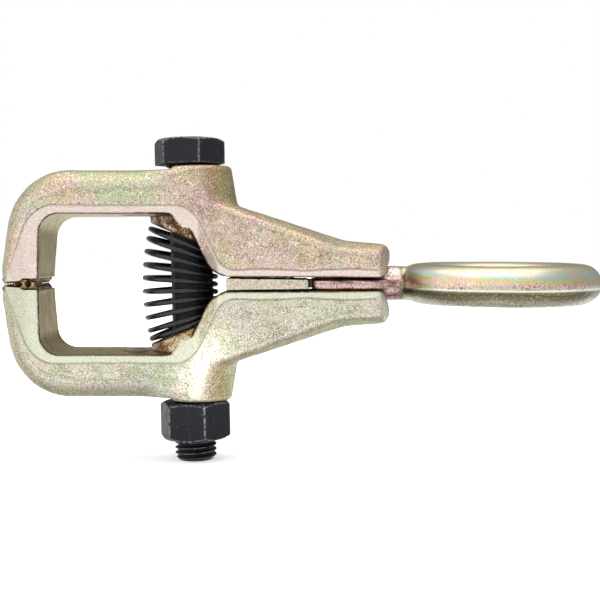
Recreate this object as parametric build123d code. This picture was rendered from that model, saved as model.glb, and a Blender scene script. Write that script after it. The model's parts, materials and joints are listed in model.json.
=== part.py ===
from build123d import *
from math import cos, radians, sin, tan
import os

# Self-tightening mouth pull clamp: two forged arms with C jaws, drawn together by one
# clamp bolt, spread by a spring, spaced by a fulcrum block, and pulled by a ring whose
# wedge head sits between the arm tails.
#
# Millimetres, +Z up along the mouth's opening direction, +X from the jaws to the pull ring.
# While the pieces are shaped, X = 0 is the clamp bolt's station. At the end each piece
# moves back by REACH, so the row's origin is the centre of the ring's eye.

# ---- overall ----
REACH = 145.4             # bolt station to the centre of the ring's eye
HALF_WIDTH = 21.5         # half of the arm's width at its parting line

# ---- arm outline, upper arm ----
JAW_OUTER_X = -90.5
JAW_INNER_X = -71.2
JAW_OUTER_LEAN = 6.6      # how far the jaw's outer side leans back on its way up
JAW_INNER_LEAN = 1.6
TIP_OUTER_Z = 0.7
TIP_INNER_Z = 1.9
TIP_R = 1.0
TOP_Z = 53.1              # outer face of the C
THROAT_Z = 32.3           # ceiling of the throat
SHOULDER_X = -3.9         # where the ceiling would meet the slope down to the slot
TOE_X = 9.7               # where the slope would meet the slot face
SLOT_Z = 3.3              # slot face at its jaw end
SLOT_END_Z = 2.9          # slot face at the tail end
TAIL_X = 93.0
TAIL_Z = 18.4             # ridge height at the tail end
TAIL_FOOT_X = 89.0        # the end face leans back to here at the slot
TAIL_BROW_Z = 12.0        # and stands upright above here
TAIL_TOP_R = 5.6
TAIL_BROW_R = 6.0
TAIL_CORNER_R = 5.0       # the tail's corners seen from above
KNEE_X = 71.5             # where the sloping ridge flattens
KNEE_Z = 20.3
KNEE_R = 15.0
RIDGE_Z = 43.9            # the ridge's height where it leaves the boss
OUTER_CORNER_R = 30.0
INNER_CORNER_R = 9.5
SHOULDER_R = 14.5         # throat ceiling to the slope
TOE_R = 12.5              # slope to the slot face

# ---- forging draft ----
PARTING_START = (-100.0, -40.0)   # the parting line's slant down the jaw runs on to here
PARTING_JAW_X = -73.5
PARTING_Z = 36.3          # parting line over the throat
PARTING_DROP_X = (0.2, 14.0)      # where it slopes down to the tail
PARTING_TAIL_Z = 6.8      # parting line along the tail
PARTING_BENDS = (16.0, 13.0, 9.0)
DRAFT_OUT = 6.0           # degrees, above the parting line
DRAFT_IN = 8.0            # degrees, below the parting line
CROWN_DROP = 3.5          # how far the tail's side edge lies below its ridge
CROWN_SLOPE = 0.45
CROWN_KNEE = (68.0, 1.1)  # the side edge's own knee: its station and its rise over the ridge's
CROWN_KNEE_R = 12.0
CROWN_TAIL_RISE = 1.6
CROWN_TAIL_SHARE = 1.6    # the drop along the tail, as a share of the drop at the boss
END_BULGE = 5.7           # the tail end's middle stands this far past its corners

# ---- bolt boss and spring seat ----
BOSS_X = -1.9
BOSS_TOP_R = 19.2
BOSS_TOP_Z = 55.0
BOSS_FOOT_Z = 33.5        # inside the arm
BOSS_DRAFT = 9.4          # degrees
BOSS_FACE_TILT = 2.2      # degrees, the boss face leans towards the jaws
BOSS_EDGE_R = 1.8
BOLT_SLOT_R = 10.8
BOLT_SLOT_LENGTH = 30.0
BOLT_SLOT_X = -3.6

# ---- spring ----
SPRING_X = -7.3           # spring axis at mid height
FAN_R = 58.0              # spring axis to the line that the coils fan out from
SPRING_BEND_R = 105.5     # radius of the spring's bent axis
COIL_R = 16.9             # wire centre to spring axis
WIRE_R = 1.15
SPRING_TURNS = 9.5
TURN_ANGLE = 4.9          # degrees of fan for each open turn
OPEN_TURNS = 3.5          # open turns each side of the middle one
CLOSING = 1.6             # degrees lost, times the square of the turns past those
TOP_LEFT_TURN = 4.4       # the turn count where the first coil passes the jaws' side
COIL_TIP = 0.052          # slope of the coils, near side up
COIL_TIP_CHANGE = -0.009  # change of that slope for each turn
SEAT_ANGLE = 22.3         # half angle between the two seats
SEAT_R = 17.6
SEAT_FLARE = 30.0         # degrees
SEAT_DEPTH = 12.0
POCKET_R = 19.3

# ---- jaw teeth ----
TOOTH_CREST_Z = 0.2
TOOTH_ROOT_Z = 1.9
TEETH_X = (-87.8, -72.2)
TEETH_HALF_Y = 18.4
TEETH_ALONG_X = 4
TEETH_ALONG_Y = 8
TEETH_BACK_Z = 5.0        # inside the jaw

# ---- M20 clamp bolt and nut ----
BOLT_X = -1.65
BOLT_LEAN = 1.0           # degrees, the head leans towards the jaws
THREAD_R = 9.95
HEX_FLAT = 15.0           # half of 30 mm across flats
HEX_TURN = -10.0          # degrees, one hex corner from +X
HEAD_Z = 56.4
HEAD_H = 12.0
COLLAR_R = 11.3
COLLAR_H = 1.0
NUT_Z = -56.4
NUT_H = 18.0
NUT_BORE_R = 10.02
BOLT_END_Z = -84.6
BOLT_CHAMFER = 1.6
HEX_CHAMFER = 0.4         # how far the hexagons' 30 degree chamfers cut into the flats

# ---- fulcrum block and its pins ----
BLOCK_X = (15.7, 53.8)
BLOCK_HALF_T = (2.8, 2.25)
BLOCK_HALF_Y = 20.6
BLOCK_EDGE_R = 1.2
WITNESS_X = 30.8          # a small witness notch on the near edge
WITNESS_R = 0.7
PIN_R = 3.0
PIN_X = (25.0, 44.0)
PIN_HALF_LENGTH = 8.8
PIN_HOLE_R = 3.9
PIN_HOLE_Z = 11.0
TONGUE_X = 56.5           # a narrow tongue on the block keys into the ring's wing
TONGUE_HALF_Y = 8.0
TONGUE_HALF_T = 2.0

# ---- pull ring ----
RING_TUBE_R = 9.45
RING_R = 38.55            # eye centre to tube centre
EYE_R = 29.4              # trimmed land inside the eye
RING_TIP = 1.1            # degrees, the ring hangs tipped by its play, far side up
STEM_R = 8.25
WING_X = (55.4, 101.0)
WING_HALF_T = 2.2
WING_HALF_Y = (17.5, 9.0)
WING_SHOULDER_X = 85.0    # the wing narrows from here to the ring
NOTCH_X = 58.2            # the notch in the wing's end takes the block's tongue
NOTCH_HALF_Y = 9.0
HEAD_X = (58.2, 62.0, 77.0)   # wedge head: blunt end, widest ring, start of the stem
WEDGE_R = 12.4
POCKET_GAP = 0.8          # play round the wedge head and the stem
POCKET_SHIFT = 2.5        # room for the ring to be drawn out
POCKET_BACK = 3.2         # room for it to be pushed in

FAR = 400.0               # reaches past everything
BEYOND = 17.0             # reaches past an arm's end


def side_face(points, radii=0.0, y=0.0):
    """Closed outline in the XZ plane at height y, one corner radius for each point."""
    outline = FilletPolyline(*points, radius=radii, close=True)
    return Pos(0, y, 0) * (Plane.XZ * make_face(outline))


def arm_profile():
    """The arm seen from the side, without its boss."""
    corners = [
        ((JAW_OUTER_X, TIP_OUTER_Z), TIP_R),
        ((JAW_OUTER_X + JAW_OUTER_LEAN, TOP_Z), OUTER_CORNER_R),
        ((BOSS_X, TOP_Z), 0.0),
        ((BOSS_X, RIDGE_Z), 0.0),
        ((KNEE_X, KNEE_Z), KNEE_R),
        ((TAIL_X, TAIL_Z), TAIL_TOP_R),
        ((TAIL_X, TAIL_BROW_Z), TAIL_BROW_R),
        ((TAIL_FOOT_X, SLOT_END_Z), TIP_R),
        ((TOE_X, SLOT_Z), TOE_R),
        ((SHOULDER_X, THROAT_Z), SHOULDER_R),
        ((JAW_INNER_X + JAW_INNER_LEAN, THROAT_Z), INNER_CORNER_R),
        ((JAW_INNER_X, TIP_INNER_Z), TIP_R),
    ]
    points = [point for point, _ in corners]
    radii = [radius for _, radius in corners]
    return side_face(points, radii)


def parting_regions():
    """Near-side faces below and above the parting line, on the plane of greatest width."""
    start_x = PARTING_START[0]
    finish_x = TAIL_X + BEYOND
    down, level = PARTING_DROP_X
    line = [PARTING_START, (PARTING_JAW_X, PARTING_Z), (down, PARTING_Z),
            (level, PARTING_TAIL_Z), (finish_x, PARTING_TAIL_Z)]
    bends = [0.0, *PARTING_BENDS, 0.0, 0.0, 0.0]
    below = side_face(line + [(finish_x, -FAR), (start_x, -FAR)], bends, -HALF_WIDTH)
    above = side_face(line + [(finish_x, FAR), (start_x, FAR)], bends, -HALF_WIDTH)
    return below, above


def slanted(face, rise):
    """Sweep a near-side face towards mid plane, climbing by rise for each millimetre."""
    length = (HALF_WIDTH + 1.0) * (1.0 + rise * rise) ** 0.5
    return extrude(face, length, dir=(0.0, 1.0, rise))


def both_sides(near):
    return near + mirror(near, about=Plane.XZ)


def draft_body():
    """Everything inside the drafted side faces of the forging."""
    below, above = parting_regions()
    near = slanted(below, 1.0 / tan(radians(DRAFT_OUT)))
    near = near & slanted(above, -1.0 / tan(radians(DRAFT_IN)))
    near = near & Pos(0, -HALF_WIDTH / 2, 0) * Box(FAR, HALF_WIDTH, FAR)
    return both_sides(near)


def crown_body():
    """Everything under the tail's roof, which falls from the ridge to the side edges."""
    start_x = JAW_OUTER_X - BEYOND
    finish_x = TAIL_X + BEYOND
    high_z = BOSS_TOP_Z + BEYOND
    knee_x, knee_rise = CROWN_KNEE
    tail_drop = CROWN_TAIL_SHARE * CROWN_DROP
    edge = side_face([(start_x, -FAR), (start_x, high_z), (BOSS_X, high_z),
                      (BOSS_X, RIDGE_Z - CROWN_DROP), (knee_x, KNEE_Z + knee_rise - tail_drop),
                      (finish_x, TAIL_Z + CROWN_TAIL_RISE - tail_drop), (finish_x, -FAR)],
                     [0.0, 0.0, 0.0, 0.0, CROWN_KNEE_R, 0.0, 0.0], -HALF_WIDTH)
    near = slanted(edge, CROWN_SLOPE) & Pos(0, -HALF_WIDTH / 2, 0) * Box(FAR, HALF_WIDTH, FAR)
    return both_sides(near)


def tail_plan():
    """The arm seen from above, with its bulged tail end."""
    corner_x = TAIL_X - END_BULGE
    start = Vector(-FAR / 2, -HALF_WIDTH)
    near = Vector(corner_x, -HALF_WIDTH)
    far = Vector(corner_x, HALF_WIDTH)
    finish = Vector(-FAR / 2, HALF_WIDTH)
    edges = Polyline(finish, start, near) + ThreePointArc(near, (TAIL_X, 0), far) + Line(far, finish)
    plan = make_face(edges)
    plan = fillet(plan.vertices().filter_by_position(Axis.X, 0, FAR), TAIL_CORNER_R)
    return extrude(plan, FAR / 2, both=True)


def boss():
    """Tapered round boss under the bolt head, before its face is cut."""
    spare = 4.0
    height = BOSS_TOP_Z + spare - BOSS_FOOT_Z
    top_r = BOSS_TOP_R - spare * tan(radians(BOSS_DRAFT))
    foot_r = top_r + height * tan(radians(BOSS_DRAFT))
    return Pos(BOSS_X, 0, BOSS_FOOT_Z + height / 2) * Cone(foot_r, top_r, height)


def above_boss_face():
    """What is cut away to leave the boss's tilted face."""
    face = Location((BOSS_X, 0, BOSS_TOP_Z), (0, -BOSS_FACE_TILT, 0))
    return face * Pos(0, 0, 20) * Box(90, 90, 40)


def spring_axis_x(z):
    """Where the spring's bent axis stands at height z."""
    return SPRING_X + SPRING_BEND_R - (SPRING_BEND_R ** 2 - z * z) ** 0.5


def seat_place():
    """The middle of the spring's upper seat, tipped with the seat's plane."""
    z = FAN_R * sin(radians(SEAT_ANGLE))
    return Location((spring_axis_x(z), 0, z), (0, SEAT_ANGLE, 0))


def seat():
    """Raised seat for the spring."""
    grow = SEAT_DEPTH * tan(radians(SEAT_FLARE))
    return seat_place() * Pos(0, 0, SEAT_DEPTH / 2) * Cone(SEAT_R, SEAT_R + grow, SEAT_DEPTH)


def spring_pocket():
    """Room for the spring: a cylinder bent along the spring's axis, up to the seat's plane."""
    half_angle = 18.0
    section = Plane.XY * Pos(SPRING_X, 0) * Circle(POCKET_R)
    axis = Axis((SPRING_X + SPRING_BEND_R, 0, 0), (0, 1, 0))
    body = revolve(section, axis, 2 * half_angle).rotate(axis, -half_angle)
    return body & (seat_place() * Pos(0, 0, -FAR / 4) * Box(FAR, FAR, FAR / 2))


def stem_pocket():
    """Hollow between the tails for the ring's wedge head and stem."""
    head, wide, neck = HEAD_X
    stem = STEM_R + POCKET_GAP
    wedge = WEDGE_R + POCKET_GAP
    back = head - POCKET_BACK
    outline = [(back, 0), (back, wedge), (wide + POCKET_SHIFT, wedge),
               (neck + POCKET_SHIFT, stem), (TAIL_X + 5, stem), (TAIL_X + 5, 0)]
    return revolve(make_face(Polyline(*outline, close=True)), Axis.X, 360)


def bolt_slot():
    straight = BOLT_SLOT_LENGTH - 2 * BOLT_SLOT_R
    outline = SlotCenterToCenter(straight, 2 * BOLT_SLOT_R)
    return Pos(BOLT_SLOT_X, 0, 0) * extrude(outline, 80)


def zigzag(first, last, count, flip):
    """Saw-tooth strip between two stations: crests down, a solid back above."""
    pitch = (last - first) / count
    points = [(first, TOOTH_ROOT_Z)]
    for tooth in range(count):
        points.append((first + (tooth + 0.5) * pitch, TOOTH_CREST_Z))
        points.append((first + (tooth + 1) * pitch, TOOTH_ROOT_Z))
    points += [(last, TEETH_BACK_Z), (first, TEETH_BACK_Z)]
    face = make_face(Polyline(*points, close=True))
    plane = Plane.YZ if flip else Plane.XZ
    return extrude(plane * face, FAR / 2, both=True)


def jaw_teeth():
    """Diamond teeth: two saw-tooth strips crossing each other."""
    across = zigzag(TEETH_X[0], TEETH_X[1], TEETH_ALONG_X, False)
    along = zigzag(-TEETH_HALF_Y, TEETH_HALF_Y, TEETH_ALONG_Y, True)
    return across & along


def pin_holes():
    holes = [Pos(x, 0, PIN_HOLE_Z / 2) * Cylinder(PIN_HOLE_R, PIN_HOLE_Z) for x in PIN_X]
    return Part() + holes


def upper_arm():
    drafted = draft_body()
    blank = extrude(arm_profile(), HALF_WIDTH, both=True) & crown_body()
    blank = (blank + boss() + seat()) & drafted & tail_plan()
    blank = blank - above_boss_face()
    blank = blank - spring_pocket()
    blank = blank - stem_pocket() - bolt_slot() - pin_holes()
    rim = blank.edges().filter_by(GeomType.ELLIPSE).sort_by(Edge.length)[-1]
    return fillet(rim, BOSS_EDGE_R) + (jaw_teeth() & drafted)


def hexagon(height, chamfered_ends):
    """Hex prism from z = 0 up, with 30 degree chamfers on the named ends."""
    outline = RegularPolygon(HEX_FLAT, 6, major_radius=False, rotation=HEX_TURN)
    prism = extrude(outline, height)
    corner_r = HEX_FLAT / cos(radians(30))
    cut = corner_r - HEX_FLAT + HEX_CHAMFER
    turned = Pos(0, 0, height / 2) * Cylinder(corner_r + 0.01, height)
    ends = turned.edges().filter_by(GeomType.CIRCLE).sort_by(Axis.Z)
    chosen = [ends[0]] if chamfered_ends == "bottom" else [ends[-1]]
    if chamfered_ends == "both":
        chosen = [ends[0], ends[-1]]
    turned = chamfer(chosen, cut * tan(radians(30)), cut)
    return prism & turned


def on_bolt_axis(shape):
    return Location((BOLT_X, 0, 0), (0, -BOLT_LEAN, 0)) * shape


def clamp_bolt():
    length = HEAD_Z - BOLT_END_Z
    shank = Pos(0, 0, BOLT_END_Z + length / 2) * Cylinder(THREAD_R, length)
    tip = shank.edges().filter_by(GeomType.CIRCLE).sort_by(Axis.Z)[0]
    shank = chamfer(tip, BOLT_CHAMFER)
    collar = Pos(0, 0, HEAD_Z - COLLAR_H / 2) * Cylinder(COLLAR_R, COLLAR_H)
    head = Pos(0, 0, HEAD_Z) * hexagon(HEAD_H, "top")
    return on_bolt_axis(shank + collar + head)


def clamp_nut():
    body = Pos(0, 0, NUT_Z - NUT_H) * hexagon(NUT_H, "both")
    bore = Pos(0, 0, NUT_Z - NUT_H / 2) * Cylinder(NUT_BORE_R, NUT_H + 2)
    return on_bolt_axis(body - bore)


def fan_angle(turn):
    """Angle of the coil round the fan's centre, with the end coils closing up."""
    past = max(0.0, abs(turn) - OPEN_TURNS)
    angle = radians(TURN_ANGLE * abs(turn) - CLOSING * past * past)
    return angle if turn > 0 else -angle


def coil_tip(turn):
    """Slope of a coil towards the far side; the end coils lie flat on their seats."""
    past = max(0.0, abs(turn) - OPEN_TURNS)
    return (COIL_TIP + COIL_TIP_CHANGE * turn) * max(0.0, 1.0 - past)


def coil_point(turn, radius):
    round_axis = radians(360.0 * (TOP_LEFT_TURN - turn))
    fan = fan_angle(turn)
    out = radius * cos(round_axis)
    y = -radius * sin(round_axis)
    x = spring_axis_x(FAN_R * sin(fan)) - out * cos(fan)
    return (x, y, (FAN_R + out) * sin(fan) - y * coil_tip(turn))


def opening_spring():
    """Left-hand compression spring, bent by the seats into a fan."""
    corners_per_turn = 8
    corner_r = COIL_R * 1.079     # the corners stand outside the coil that their arcs make
    bend_r = 15.0
    count = int(SPRING_TURNS * corners_per_turn)
    turns = [SPRING_TURNS / 2 - corner / corners_per_turn for corner in range(count + 1)]
    path = FilletPolyline(*[coil_point(turn, corner_r) for turn in turns], radius=bend_r)
    section = Plane(path @ 0, z_dir=path % 0) * Circle(WIRE_R)
    return sweep(section, path=path)


def fulcrum_block():
    """Flat spacer, a little thinner at its ring end, with a witness notch and pin holes."""
    (x0, x1), (t0, t1) = BLOCK_X, BLOCK_HALF_T
    body = extrude(side_face([(x0, -t0), (x0, t0), (x1, t1), (x1, -t1)]), BLOCK_HALF_Y, both=True)
    body = fillet(body.edges().filter_by(Axis.Z), BLOCK_EDGE_R)
    for x in PIN_X:
        body = body - Pos(x, 0, 0) * Cylinder(PIN_R, 10)
    notch = Pos(WITNESS_X, -BLOCK_HALF_Y, t0 - 0.2) * Cylinder(WITNESS_R, 1.0)
    tongue = Pos(TONGUE_X - 5, 0, 0) * Box(10, 2 * TONGUE_HALF_Y, 2 * TONGUE_HALF_T)
    return body - notch + tongue


def locating_pins():
    pins = []
    for x in PIN_X:
        pin = Pos(x, 0, 0) * Cylinder(PIN_R, 2 * PIN_HALF_LENGTH)
        pins.append(chamfer(pin.edges().filter_by(GeomType.CIRCLE), 0.6))
    return Part() + pins


def pull_ring():
    """Forged ring, its stem, the flat wing of the stem and the wedge head."""
    ring = Pos(REACH, 0, 0) * Torus(RING_R, RING_TUBE_R)
    head, wide, neck = HEAD_X
    ring_x = REACH - RING_R
    outline = [(head, 0), (head, WEDGE_R - 2), (head + 2, WEDGE_R), (wide, WEDGE_R),
               (neck, STEM_R), (ring_x, STEM_R), (ring_x, 0)]
    stem = revolve(make_face(Polyline(*outline, close=True)), Axis.X, 360)
    (x0, x1), (y0, y1) = WING_X, WING_HALF_Y
    shoulder = WING_SHOULDER_X
    plan = FilletPolyline((x0, -y0), (shoulder, -y0), (x1, -y1), (x1, y1), (shoulder, y0), (x0, y0),
                          radius=[3.0, 8.0, 0.0, 0.0, 8.0, 3.0], close=True)
    wing = extrude(make_face(plan), WING_HALF_T, both=True)
    wing = wing - Pos(NOTCH_X - 5, 0, 0) * Box(10, 2 * NOTCH_HALF_Y, 20)
    eye = Pos(REACH, 0, 0) * Cylinder(EYE_R, 3 * RING_TUBE_R)
    return (ring + stem + wing - eye).rotate(Axis.X, RING_TIP)


def main():
    os.makedirs("parts", exist_ok=True)
    arm = upper_arm()
    pieces = {
        "upper_arm": arm,
        "lower_arm": mirror(arm, about=Plane.XY),
        "clamp_bolt": clamp_bolt(),
        "clamp_nut": clamp_nut(),
        "opening_spring": opening_spring(),
        "pull_ring": pull_ring(),
        "fulcrum_block": fulcrum_block(),
        "locating_pins": locating_pins(),
    }
    for name, piece in pieces.items():
        export_step(Pos(-REACH, 0, 0) * piece, os.path.join("parts", name + ".step"))


main()
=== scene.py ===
import json
from math import atan2, cos, pi, radians, sin, sqrt, tan

import bmesh
import bpy
import numpy as np
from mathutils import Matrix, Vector, kdtree

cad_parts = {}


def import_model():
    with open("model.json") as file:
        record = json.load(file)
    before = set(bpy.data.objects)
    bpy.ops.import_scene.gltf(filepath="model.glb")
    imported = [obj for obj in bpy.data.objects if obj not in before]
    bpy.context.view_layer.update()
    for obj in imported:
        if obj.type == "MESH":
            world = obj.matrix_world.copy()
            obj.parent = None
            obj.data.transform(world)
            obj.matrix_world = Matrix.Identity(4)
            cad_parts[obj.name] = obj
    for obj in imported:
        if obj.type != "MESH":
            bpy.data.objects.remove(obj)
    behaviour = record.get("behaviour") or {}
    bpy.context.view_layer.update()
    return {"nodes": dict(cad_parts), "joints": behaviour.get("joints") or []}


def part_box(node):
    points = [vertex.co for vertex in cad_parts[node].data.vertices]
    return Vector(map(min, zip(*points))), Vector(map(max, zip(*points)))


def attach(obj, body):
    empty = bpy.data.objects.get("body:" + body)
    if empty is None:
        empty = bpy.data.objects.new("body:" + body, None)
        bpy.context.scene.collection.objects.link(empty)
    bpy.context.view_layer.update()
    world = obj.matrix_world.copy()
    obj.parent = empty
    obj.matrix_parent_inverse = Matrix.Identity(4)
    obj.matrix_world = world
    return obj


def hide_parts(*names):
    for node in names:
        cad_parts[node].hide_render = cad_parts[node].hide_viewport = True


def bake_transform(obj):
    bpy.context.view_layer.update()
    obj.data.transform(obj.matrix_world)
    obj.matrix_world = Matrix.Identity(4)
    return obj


# Looks for the self-tightening pull clamp. Metres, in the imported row's frame: the origin is the
# centre of the ring's eye, the jaws are at -X, and the clamp bolt stands along +Z.

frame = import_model()

MM = 0.001


def mm(value):
    return value * MM


# ---- the clamp's own sizes ----
HALF_WIDTH = mm(21.5)
TOP_Z = mm(53.1)
OUTER_CORNER = mm(30)
JAW_LEAN = atan2(6.6, 52.4)
DRAFT = tan(radians(6.0))
PARTING_SLOPE = 2.88
TONGUE_LENGTH = mm(2.7)
RING_TIP = tan(radians(1.1))
COIL_R = mm(16.9)

# In the next two groups a pair of values is where an effect starts and where it is full.
# ---- the arm's rounded outer edges ----
FORGING_ROUND = mm(9)
LEAST_ROUND = mm(0.5)
ROUND_END_FROM_BOLT = -mm(8)
CLEAR_OF_BOSS = (mm(20.5), mm(27))
CLEAR_OF_TEETH = (-mm(5), mm(3))
TOE_SETBACK = mm(1.2)
TOE_HEIGHT = (mm(7), mm(2))
TOE_LENGTH = (mm(6), mm(1))

# ---- the arm's skin ----
SEAM_HEIGHT = mm(0.14)
SKIN_INSET = mm(0.12)
POCKET_RADIUS = (mm(31), mm(27))
POCKET_HEIGHT = (mm(46), mm(43))
TAIL_BROWN_HEIGHT = (mm(9), mm(5))
BOSS_SIDE_HEIGHT = mm(24)
SPRING_WALL_TOP = mm(45)
SPRING_WALL_R = (mm(24), mm(22))

# ---- the teeth, and the outline of the jaw tip that they fill ----
TEETH_HALF_Y = mm(18.4)
TEETH_ALONG_X = 4
TEETH_ALONG_Y = 8
TOOTH_CREST = mm(0.05)
TOOTH_ROOT = mm(1.9)
TOOTH_BACK = mm(1.6)
CREST_SHARE = 0.14
BAND_Y = mm(20.4)
BAND_SLOPE = 0.33
CORNER_Y = mm(13.5)
CORNER_SLOPE = 2.6

# ---- places worked out from the frame ----
BOLT_JOINT = next(joint for joint in frame["joints"] if joint["name"] == "bolt_turn")
BOLT_AT = Vector(BOLT_JOINT["pos_m"])
BOLT_AXIS = Vector(BOLT_JOINT["axis"]).normalized()
ARM_LOW, ARM_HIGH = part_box("upper_arm")
SPRING_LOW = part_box("opening_spring")[0]
FLOOR_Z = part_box("clamp_bolt")[0].z
THROAT_CENTRE = Vector((ARM_LOW.x + mm(48), 0, 0))
POCKET_X = SPRING_LOW.x + COIL_R + mm(2)
TEETH_X = (ARM_LOW.x + mm(1.7), ARM_LOW.x + mm(18.3))
RING_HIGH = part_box("pull_ring")[1]
RING_ROOT_X = -RING_HIGH.x


# ---------------------------------------------------------------- mesh tools

def new_object(name, data):
    thing = bpy.data.objects.new(name, data)
    bpy.context.scene.collection.objects.link(thing)
    return thing


def mesh_from(name, points, faces):
    mesh = bpy.data.meshes.new(name)
    mesh.from_pydata([tuple(point) for point in points], [], faces)
    mesh.validate()
    mesh.update()
    mesh.polygons.foreach_set("use_smooth", [True] * len(mesh.polygons))
    return mesh


def read_points(mesh):
    points = np.zeros(len(mesh.vertices) * 3)
    mesh.vertices.foreach_get("co", points)
    return points.reshape(-1, 3)


def write_points(mesh, points):
    mesh.vertices.foreach_set("co", points.ravel())
    mesh.update()


def read_normals(mesh):
    normals = np.zeros(len(mesh.vertices) * 3)
    mesh.vertices.foreach_get("normal", normals)
    return normals.reshape(-1, 3)


def store(mesh, name, values):
    layer = mesh.attributes.new(name, "FLOAT", "POINT")
    layer.data.foreach_set("value", values.astype(np.float32))


def smoothstep(values, low, high):
    t = np.clip((values - low) / (high - low), 0.0, 1.0)
    return t * t * (3.0 - 2.0 * t)


def bell(values, width):
    """1 where the values are zero, falling off on both sides over about the given width."""
    return np.exp(-(values / width) ** 2)


def remeshed(node, name, voxel):
    """An even quad skin over a CAD node."""
    thing = new_object(name, frame["nodes"][node].data.copy())
    remesh = thing.modifiers.new("skin", "REMESH")
    remesh.mode = "VOXEL"
    remesh.voxel_size = voxel
    remesh.use_smooth_shade = True
    bpy.context.view_layer.update()
    graph = bpy.context.evaluated_depsgraph_get()
    mesh = bpy.data.meshes.new_from_object(thing.evaluated_get(graph))
    bpy.data.objects.remove(thing)
    mesh.name = name
    mesh.materials.clear()
    return mesh


def averaged(mesh, values, rounds, weight):
    """Move each vertex's values by its weight towards the mean of its neighbours, round by round."""
    count = len(values)
    pairs = np.zeros(len(mesh.edges) * 2, np.int64)
    mesh.edges.foreach_get("vertices", pairs)
    one, two = pairs.reshape(-1, 2).T
    degree = np.maximum(np.bincount(one, minlength=count) + np.bincount(two, minlength=count), 1)
    share = (np.zeros(count) + weight)[:, None]
    for _ in range(rounds):
        total = np.stack([np.bincount(one, column[two], count) + np.bincount(two, column[one], count)
                          for column in values.T], 1)
        values = values + share * (total / degree[:, None] - values)
    return values


def relax(mesh, rounds, weight):
    write_points(mesh, averaged(mesh, read_points(mesh), rounds, weight))


def waves(points, size, seed):
    """Smooth uneven noise, about -1 to 1, with bumps of about the given size."""
    draw = np.random.default_rng(seed)
    total = np.zeros(len(points))
    for _ in range(9):
        direction = draw.normal(size=3)
        direction /= np.linalg.norm(direction)
        pace = 2 * pi / (size * draw.uniform(1.2, 2.6))
        total += np.sin(points @ direction * pace + draw.uniform(0, 2 * pi))
    return total / 4.0


# ---------------------------------------------------------------- node tools

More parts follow.
